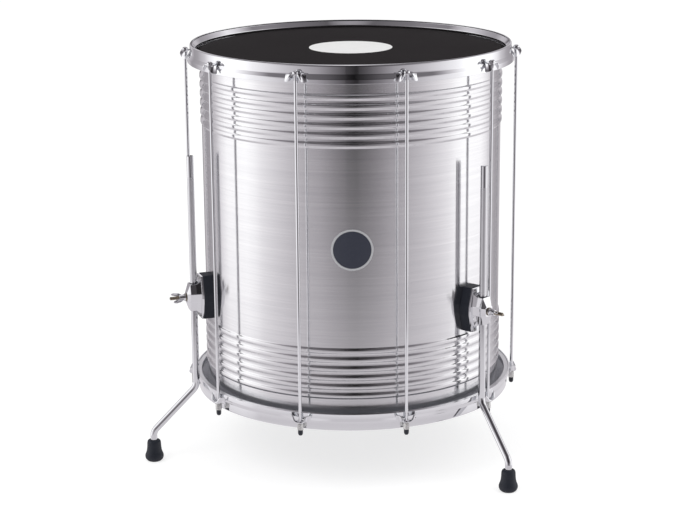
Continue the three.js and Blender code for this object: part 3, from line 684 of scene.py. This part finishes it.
# Zinc plate: a soft grey metal, less bright than chrome, with a patchy dull bloom.
zinc_plate, tree, place, shader = new_material("zinc_plate")
shader.inputs["Metallic"].default_value = 1
bloom = add_node(
    tree, "ShaderNodeTexNoise", {"Vector": place, "Scale": 1 / (2.5 * mm), "Detail": 4.0})
tint = add_node(
    tree, "ShaderNodeMix",
    {"Factor": bloom.outputs["Fac"], "A": srgb("#c9cac8"), "B": srgb("#e2e2df")}, data_type="RGBA")
tree.links.new(tint.outputs["Result"], shader.inputs["Base Color"])
gloss = add_node(
    tree, "ShaderNodeMapRange", {"Value": bloom.outputs["Fac"], "To Min": 0.18, "To Max": 0.36})
tree.links.new(gloss.outputs["Result"], shader.inputs["Roughness"])

# Moulded nylon: near black, half matt, with the fine grain of the mould.
moulded_nylon, tree, place, shader = new_material("moulded_nylon")
shader.inputs["IOR"].default_value = 1.53
grain = add_node(
    tree, "ShaderNodeTexNoise", {"Vector": place, "Scale": 1 / (1.2 * mm), "Detail": 3.0})
tint = add_node(
    tree, "ShaderNodeMix",
    {"Factor": grain.outputs["Fac"], "A": srgb("#1e222a"), "B": srgb("#292e37")}, data_type="RGBA")
tree.links.new(tint.outputs["Result"], shader.inputs["Base Color"])
gloss = add_node(
    tree, "ShaderNodeMapRange", {"Value": grain.outputs["Fac"], "To Min": 0.36, "To Max": 0.5})
tree.links.new(gloss.outputs["Result"], shader.inputs["Roughness"])

for number, bearing in enumerate(ROD_BEARINGS):
    label = f"{number + 1:02d}"
    body = "tuning_nut_" + label
    on_circle = at_bearing(bearing) @ Matrix.Translation((ROD_CIRCLE, 0, 0))
    finish_piece(
        turned_ring(washer_section, 24), "nut_washer_" + label, body, zinc_plate,
        [body], on_circle)
    finish_piece(
        hexagon_nut(), "nut_" + label, body, zinc_plate, [body], on_circle)
    finish_piece(
        turned_ring(cap_section, 24), "nut_cap_" + label, body, moulded_nylon,
        [body], on_circle)

# Leg brackets: a thick black rubber pad with flat sides lies against the shell.
# On it a chromed casting holds the leg: a plate with eight edges, four small screws, and a
# faceted body with a wedge-shaped nose.
BRACKET_Z = 318.5
PAD_FRONT = 294.5
PLATE_BACK = 294.8
PLATE_FRONT = 298.8
LEG_CIRCLE = 309
NOSE = 323.45
DRAFT = 0.0035  # the casting's sides widen upwards by this share for each millimetre
SLEEVE_BORE_R = 7.9
EYE_POCKET_R = 11.1
EYE_POCKET_HALF = 4.3
BOLT_HOLE_R = 3.5
EYE_AHEAD = 1  # the eye's middle lies this far outside the leg's


def long_octagon(mesh, x, end_half, middle_half, high, flat):
    """An upright face with eight corners across X, narrow at its ends."""
    outline = [
        (end_half, high), (-end_half, high), (-middle_half, flat), (-middle_half, -flat),
        (-end_half, -high), (end_half, -high), (middle_half, -flat), (middle_half, flat)]
    return mesh.faces.new([mesh.verts.new((x, y, z)) for y, z in outline])


def rubber_pad():
    """The pad, hollowed behind to the curve of the shell."""
    pad = bmesh.new()
    long_octagon(pad, SHELL_R, end_half=15, middle_half=23, high=41, flat=8)
    bmesh.ops.bevel(
        pad, geom=pad.verts[:], offset=2, segments=3, profile=0.5, affect="VERTICES", material=-1)
    front = bmesh.ops.extrude_face_region(pad, geom=pad.faces[:])
    raised = [g for g in front["geom"] if isinstance(g, bmesh.types.BMVert)]
    bmesh.ops.translate(pad, verts=raised, vec=(PAD_FRONT - SHELL_R, 0, 0))
    rim = [e for e in pad.edges if all(v in raised for v in e.verts)]
    bmesh.ops.bevel(
        pad, geom=rim, offset=1.2, segments=3, profile=0.5, affect="EDGES", material=-1)
    for cut in range(-5, 6):
        bmesh.ops.bisect_plane(
            pad, geom=pad.verts[:] + pad.edges[:] + pad.faces[:],
            plane_co=(0, cut * 3.8, 0), plane_no=(0, 1, 0))
    for vert in pad.verts:
        if vert.co.x < SHELL_R + 0.1:
            vert.co.x = math.sqrt((SHELL_R + BEDDING) ** 2 - vert.co.y ** 2)
    bmesh.ops.translate(pad, verts=pad.verts[:], vec=(0, 0, BRACKET_Z))
    return pad


def casting_body():
    """Sections of the body one after another, joined into one faceted block."""
    body = bmesh.new()
    sections = [  # distance out, then the four sizes of its octagon
        (PLATE_BACK + 1, 13, 18, 33.5, 8), (PLATE_FRONT + 8, 10.5, 16.5, 25.5, 8),
        (LEG_CIRCLE + 8.5, 9.5, 15, 25.5, 8), (NOSE, 6.5, 10, 9, 7)]
    rings = []
    for x, end_half, middle_half, high, flat in sections:
        face = long_octagon(body, x, end_half, middle_half, high, flat)
        rings.append(list(face.edges))
        if x not in (sections[0][0], sections[-1][0]):
            bmesh.ops.delete(body, geom=[face], context="FACES_ONLY")
    for near, far in zip(rings, rings[1:]):
        bmesh.ops.bridge_loops(body, edges=near + far)
    bmesh.ops.recalc_face_normals(body, faces=body.faces[:])
    folds = [e for e in body.edges if e.calc_face_angle(0) > math.radians(8)]
    bmesh.ops.bevel(
        body, geom=folds, offset=0.8, segments=3, profile=0.5, affect="EDGES", material=-1)
    for vert in body.verts:
        vert.co.y *= 1 + DRAFT * vert.co.z
    bmesh.ops.translate(body, verts=body.verts[:], vec=(0, 0, BRACKET_Z))
    return body


def casting_plate():
    """The plate with a softened front edge."""
    plate = bmesh.new()
    long_octagon(plate, PLATE_BACK, end_half=14.2, middle_half=22.2, high=40.2, flat=8)
    front = bmesh.ops.extrude_face_region(plate, geom=plate.faces[:])
    raised = [g for g in front["geom"] if isinstance(g, bmesh.types.BMVert)]
    bmesh.ops.translate(plate, verts=raised, vec=(PLATE_FRONT - PLATE_BACK, 0, 0))
    rim = [e for e in plate.edges if all(v in raised for v in e.verts)]
    bmesh.ops.bevel(
        plate, geom=rim, offset=1, segments=3, profile=0.5, affect="EDGES", material=-1)
    bmesh.ops.translate(plate, verts=plate.verts[:], vec=(0, 0, BRACKET_Z))
    return plate


def drilled(blank, cutters, name):
    """A blank joined or cut by other solids with exact booleans, as a new bmesh."""
    def as_object(mesh, label):
        bmesh.ops.remove_doubles(mesh, verts=mesh.verts[:], dist=0.001)
        bmesh.ops.recalc_face_normals(mesh, faces=mesh.faces[:])
        data = bpy.data.meshes.new(label)
        mesh.to_mesh(data)
        mesh.free()
        thing = bpy.data.objects.new(label, data)
        bpy.context.scene.collection.objects.link(thing)
        return thing

    block = as_object(blank, name)
    tools = []
    for operation, cutter in cutters:
        tool = as_object(cutter, name + "_tool")
        step = block.modifiers.new(operation.lower(), "BOOLEAN")
        step.operation = operation
        step.solver = "EXACT"
        step.object = tool
        tools.append(tool)
    depsgraph = bpy.context.evaluated_depsgraph_get()
    cut = bmesh.new()
    cut.from_object(block, depsgraph)
    for thing in tools + [block]:
        bpy.data.objects.remove(thing)
    return cut


def upright_bore(radius, out, low, high):
    """A round cutter along Z."""
    bore = turned_ring([(0, low, 0), (radius, low, 0), (radius, high, 0), (0, high, 0)], 48)
    bmesh.ops.translate(bore, verts=bore.verts[:], vec=(out, 0, BRACKET_Z))
    return bore


def level_bar(section, steps):
    """A section of (radius, distance out, cut) points spun about X at the bracket's height."""
    bar = turned_ring(section, steps)
    bmesh.ops.rotate(bar, verts=bar.verts[:], cent=(0, 0, 0),
                     matrix=Matrix.Rotation(math.pi / 2, 3, "Y"))
    bmesh.ops.translate(bar, verts=bar.verts[:], vec=(0, 0, BRACKET_Z))
    return bar


def eye_way():
    """The slot behind the pocket, through which the eyebolt is put in."""
    slot = bmesh.new()
    bmesh.ops.create_cube(slot, size=1)
    bmesh.ops.scale(
        slot, verts=slot.verts[:], vec=(20, 2 * EYE_POCKET_R, 2 * EYE_POCKET_HALF))
    bmesh.ops.translate(slot, verts=slot.verts[:], vec=(300, 0, BRACKET_Z))
    return slot


bracket_pattern = drilled(casting_body(), [
    ("UNION", casting_plate()),
    ("DIFFERENCE", upright_bore(SLEEVE_BORE_R, LEG_CIRCLE, -40, 40)),
    ("DIFFERENCE", upright_bore(
        EYE_POCKET_R, LEG_CIRCLE + EYE_AHEAD, -EYE_POCKET_HALF, EYE_POCKET_HALF)),
    ("DIFFERENCE", eye_way()),
    ("DIFFERENCE", level_bar(
        [(0, 312, 0), (BOLT_HOLE_R, 312, 0), (BOLT_HOLE_R, 330, 0), (0, 330, 0)], 32)),
], "casting")
screw_section = [
    (0, PLATE_FRONT - 1, 0), (2.4, PLATE_FRONT - 1, 0), (2.4, PLATE_FRONT + 1.7, 1),
    (1.1, PLATE_FRONT + 1.7, 0), (0.9, PLATE_FRONT + 0.7, 0), (0, PLATE_FRONT + 0.7, 0)]

# Moulded rubber: a blue-black with a dry, even sheen and a fine pitted skin.
moulded_rubber, tree, place, shader = new_material("moulded_rubber")
shader.inputs["IOR"].default_value = 1.5
pits = add_node(
    tree, "ShaderNodeTexNoise", {"Vector": place, "Scale": 1 / (1.5 * mm), "Detail": 5.0})
tint = add_node(
    tree, "ShaderNodeMix",
    {"Factor": pits.outputs["Fac"], "A": srgb("#1a1e28"), "B": srgb("#252a35")}, data_type="RGBA")
tree.links.new(tint.outputs["Result"], shader.inputs["Base Color"])
gloss = add_node(
    tree, "ShaderNodeMapRange", {"Value": pits.outputs["Fac"], "To Min": 0.5, "To Max": 0.66})
tree.links.new(gloss.outputs["Result"], shader.inputs["Roughness"])
skin = add_node(
    tree, "ShaderNodeBump",
    {"Height": pits.outputs["Fac"], "Strength": 0.3, "Distance": 0.15 * mm})
tree.links.new(skin.outputs[0], shader.inputs["Normal"])

SCREW_CORNERS = [(-9, 36), (9, 36), (-9, -36), (9, -36)]
leg_bearings = [(1, -71.1), (2, 48.9), (3, 168.9)]
for number, bearing in leg_bearings:
    finish_piece(
        rubber_pad(), f"rubber_pad_{number}", "drum", moulded_rubber,
        [f"bracket_gasket_{number}"], at_bearing(bearing))
    finish_piece(
        bracket_pattern.copy(), f"casting_{number}", "drum", chrome_plate,
        [f"leg_bracket_{number}"], at_bearing(bearing), crease=25)
    for corner, (side, high) in enumerate(SCREW_CORNERS):
        screw = level_bar(screw_section, 20)
        bmesh.ops.translate(screw, verts=screw.verts[:], vec=(0, side, high))
        finish_piece(
            screw, f"plate_screw_{number}_{corner + 1}", "drum", zinc_plate,
            [], at_bearing(bearing))

# Clamp of each leg: a thin nylon sleeve round the leg, and an eyebolt that pulls on it.
# A dull yellow lock washer and a chromed wing nut draw the eyebolt outwards.
sleeve_section = [(6.65, -25.5, 0), (7.25, -25.5, 0.2), (7.25, 26.5, 0.2), (6.65, 26.5, 0)]
eye_section = [(8.55, -4, 0.6), (10.75, -4, 0.8), (10.75, 4, 0.8), (8.55, 4, 0.6)]
lock_washer_section = [
    (3.5, NOSE + 0.3, 0.2), (7.4, NOSE + 0.3, 0.4), (7.4, NOSE + 2, 0.4), (3.5, NOSE + 2, 0.2)]
hub_section = [
    (3.5, NOSE + 2.1, 0.2), (7.2, NOSE + 2.1, 0.5), (6.9, NOSE + 3.4, 0.6), (6, NOSE + 4.4, 1.4),
    (5.2, NOSE + 13.5, 0.8), (3.5, NOSE + 13.5, 0.3)]
NUT_STOP = -24  # degrees from level at which the wings come to rest
WING_SHEET = 3
THREAD_PITCH = 1
THREAD_R = 3.3
THREAD_ROOT = 2.8
SHANK_START = 319
BOLT_END = NOSE + 31


def bolt_shank():
    """A plain shank with rolled thread on its outer half, drawn as close-set grooves."""
    section = [(0, SHANK_START, 0), (THREAD_R, SHANK_START, 0), (THREAD_R, NOSE + 2, 0)]
    groove = NOSE + 2.5
    while groove < BOLT_END - 1.8:
        section += [
            (THREAD_ROOT, groove + THREAD_PITCH * 0.35, 0),
            (THREAD_R, groove + THREAD_PITCH * 0.8, 0)]
        groove += THREAD_PITCH
    section += [(2.4, BOLT_END, 0.3), (0, BOLT_END, 0)]
    return level_bar(section, 24)


def wing(side):
    """One wing of the nut: a rounded leaf that leans outwards from the hub."""
    leaf = bmesh.new()
    outline = [
        (NOSE + 3.6, 3.4, 0), (NOSE + 11, 11.8, 3), (NOSE + 24, 15, 4),
        (NOSE + 27.5, 10.4, 3), (NOSE + 14, 3.4, 0)]
    verts = [
        leaf.verts.new((x, side * y, BRACKET_Z - WING_SHEET / 2)) for x, y, cut in outline]
    leaf.faces.new(verts)
    for vert, (x, y, cut) in zip(verts, outline):
        if cut:
            bmesh.ops.bevel(
                leaf, geom=[vert], offset=cut, segments=5, profile=0.5, affect="VERTICES",
                material=-1)
    top = bmesh.ops.extrude_face_region(leaf, geom=leaf.faces[:])
    raised = [g for g in top["geom"] if isinstance(g, bmesh.types.BMVert)]
    bmesh.ops.translate(leaf, verts=raised, vec=(0, 0, WING_SHEET))
    rims = [e for e in leaf.edges if e.calc_face_angle(0) > math.radians(50)]
    bmesh.ops.bevel(
        leaf, geom=rims, offset=0.9, segments=3, profile=0.5, affect="EDGES", material=-1)
    return leaf


# Yellow passivated steel: a thin dull brass tone over the thread and the lock washer.
yellow_zinc, tree, place, shader = new_material("yellow_passivated_steel")
shader.inputs["Metallic"].default_value = 1
film_patches = add_node(
    tree, "ShaderNodeTexNoise", {"Vector": place, "Scale": 1 / (2 * mm), "Detail": 4.0})
tint = add_node(
    tree, "ShaderNodeMix",
    {"Factor": film_patches.outputs["Fac"], "A": srgb("#8f8779"), "B": srgb("#b8ad9c")},
    data_type="RGBA")
tree.links.new(tint.outputs["Result"], shader.inputs["Base Color"])
gloss = add_node(
    tree, "ShaderNodeMapRange",
    {"Value": film_patches.outputs["Fac"], "To Min": 0.22, "To Max": 0.4})
tree.links.new(gloss.outputs["Result"], shader.inputs["Roughness"])

wing_nut_pattern = drilled(
    wing(1), [("UNION", wing(-1)), ("UNION", level_bar(hub_section, 48))], "wings")
bmesh.ops.rotate(
    wing_nut_pattern, verts=wing_nut_pattern.verts[:], cent=(0, 0, BRACKET_Z),
    matrix=Matrix.Rotation(math.radians(NUT_STOP), 3, "X"))
for number, bearing in leg_bearings:
    sleeve = turned_ring(sleeve_section, 48)
    bmesh.ops.translate(sleeve, verts=sleeve.verts[:], vec=(LEG_CIRCLE, 0, BRACKET_Z))
    finish_piece(
        sleeve, f"sleeve_tube_{number}", f"sleeve_{number}", moulded_nylon,
        [f"leg_sleeve_{number}"], at_bearing(bearing))
    eye = turned_ring(eye_section, 40)
    bmesh.ops.translate(
        eye, verts=eye.verts[:], vec=(LEG_CIRCLE + EYE_AHEAD, 0, BRACKET_Z))
    finish_piece(
        drilled(bolt_shank(), [("UNION", eye)], "bolt"), f"eyebolt_shank_{number}",
        f"eyebolt_{number}", yellow_zinc, [f"eyebolt_{number}"], at_bearing(bearing))
    finish_piece(
        level_bar(lock_washer_section, 40), f"lock_washer_{number}", f"wing_nut_{number}",
        yellow_zinc, [f"wing_nut_{number}"], at_bearing(bearing))
    finish_piece(
        wing_nut_pattern.copy(), f"wing_nut_leaves_{number}", f"wing_nut_{number}",
        chrome_plate, [f"wing_nut_{number}"], at_bearing(bearing))

# Legs: 12.7 mm chromed steel rod, bent out below the hoop and upright again in its foot.
# A moulded rubber foot with a rounded bell is pushed on the end.
LEG_R = 6.35
LEG_TOP = 583
LEG_REACH = 82.5
LEG_SWIVEL = -16
KNEE_Z = 144.4
ANKLE_Z = 57
KNEE_BEND = 25
ANKLE_BEND = 20
LEG_END = 10.3


def bent_rod():
    """A ring of the rod's size, drawn down, spun round its two bends and capped."""
    rod = bmesh.new()
    bmesh.ops.create_circle(rod, segments=40, radius=LEG_R)
    bmesh.ops.translate(rod, verts=rod.verts[:], vec=(0, 0, LEG_TOP))
    slope = math.atan2(LEG_REACH, KNEE_Z - ANKLE_Z)
    way = Vector((math.sin(slope), 0, -math.cos(slope)))
    knee = KNEE_BEND * math.tan(slope / 2)
    ankle = ANKLE_BEND * math.tan(slope / 2)
    run = math.hypot(LEG_REACH, KNEE_Z - ANKLE_Z) - knee - ankle
    ankle_start = Vector((LEG_REACH, 0, ANKLE_Z)) - ankle * way
    ankle_centre = ankle_start + ANKLE_BEND * Vector((way.z, 0, -way.x))

    def drawn(loop, step):
        grown = bmesh.ops.extrude_edge_only(rod, edges=loop)["geom"]
        verts = [g for g in grown if isinstance(g, bmesh.types.BMVert)]
        bmesh.ops.translate(rod, verts=verts, vec=step)
        return [e for e in grown if isinstance(e, bmesh.types.BMEdge)
                and all(v in verts for v in e.verts)]

    def bent(loop, centre, angle):
        turned = bmesh.ops.spin(
            rod, geom=loop, axis=(0, 1, 0), cent=centre, angle=angle, steps=14)
        return [g for g in turned["geom_last"] if isinstance(g, bmesh.types.BMEdge)]

    loop = drawn(rod.edges[:], Vector((0, 0, KNEE_Z + knee - LEG_TOP)))
    loop = bent(loop, (KNEE_BEND, 0, KNEE_Z + knee), -slope)
    loop = drawn(loop, way * run)
    loop = bent(loop, ankle_centre, slope)
    drawn(loop, Vector((0, 0, LEG_END - ANKLE_Z + ankle)))
    bmesh.ops.holes_fill(rod, edges=rod.edges[:], sides=0)
    ends = [e for e in rod.edges if e.calc_face_angle(0) > math.radians(60)]
    bmesh.ops.bevel(
        rod, geom=ends, offset=1, segments=4, profile=0.5, affect="EDGES", material=-1)
    return rod


foot_section = [
    (0, 0, 0), (12, 0, 1), (15.3, 2.8, 1.5), (17, 6.2, 1.5), (17.45, 9.4, 1.5), (16.9, 12.6, 1.6),
    (14.3, 18.9, 3), (13.2, 27, 3), (12.9, 35.6, 1.6), (11.9, 39.4, 1.6), (9.6, 41, 1),
    (6.65, 41, 0.5), (6.65, 9.7, 0), (0, 9.7, 0)]

# Leg chrome: polished, but dulled grey on the stretch above the clamp that slides through it.
LEG_DULL_TOP = 545 * mm
LEG_DULL_LOW = 350 * mm
leg_chrome, tree, place, shader = new_material("leg_chrome")
shader.inputs["Base Color"].default_value = srgb("#e6e7e9")
shader.inputs["Metallic"].default_value = 1
height = add_node(tree, "ShaderNodeSeparateXYZ", {"Vector": place}).outputs["Z"]
below = add_node(
    tree, "ShaderNodeMapRange",
    {"Value": height, "From Min": LEG_DULL_TOP - 3 * mm, "From Max": LEG_DULL_TOP,
     "To Min": 0.32, "To Max": 0.06})
above = add_node(
    tree, "ShaderNodeMapRange",
    {"Value": height, "From Min": LEG_DULL_LOW - 3 * mm, "From Max": LEG_DULL_LOW,
     "To Min": 0.06, "To Max": 0.32})
dulled = add_node(
    tree, "ShaderNodeMath", {0: below.outputs[0], 1: above.outputs[0]}, operation="MINIMUM")
tree.links.new(dulled.outputs[0], shader.inputs["Roughness"])

for number, bearing in leg_bearings:
    beside = (
        at_bearing(bearing) @ Matrix.Translation((LEG_CIRCLE, 0, 0))
        @ Matrix.Rotation(math.radians(LEG_SWIVEL), 4, "Z"))
    finish_piece(
        bent_rod(), f"leg_{number}_bent_rod", f"leg_{number}", leg_chrome,
        [f"leg_rod_{number}"], beside, crease=50)
    foot = turned_ring(foot_section, 64)
    bmesh.ops.translate(foot, verts=foot.verts[:], vec=(LEG_REACH, 0, 0))
    finish_piece(
        foot, f"foot_{number}", f"leg_{number}", moulded_rubber,
        [f"rubber_foot_{number}"], beside)

low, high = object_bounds()
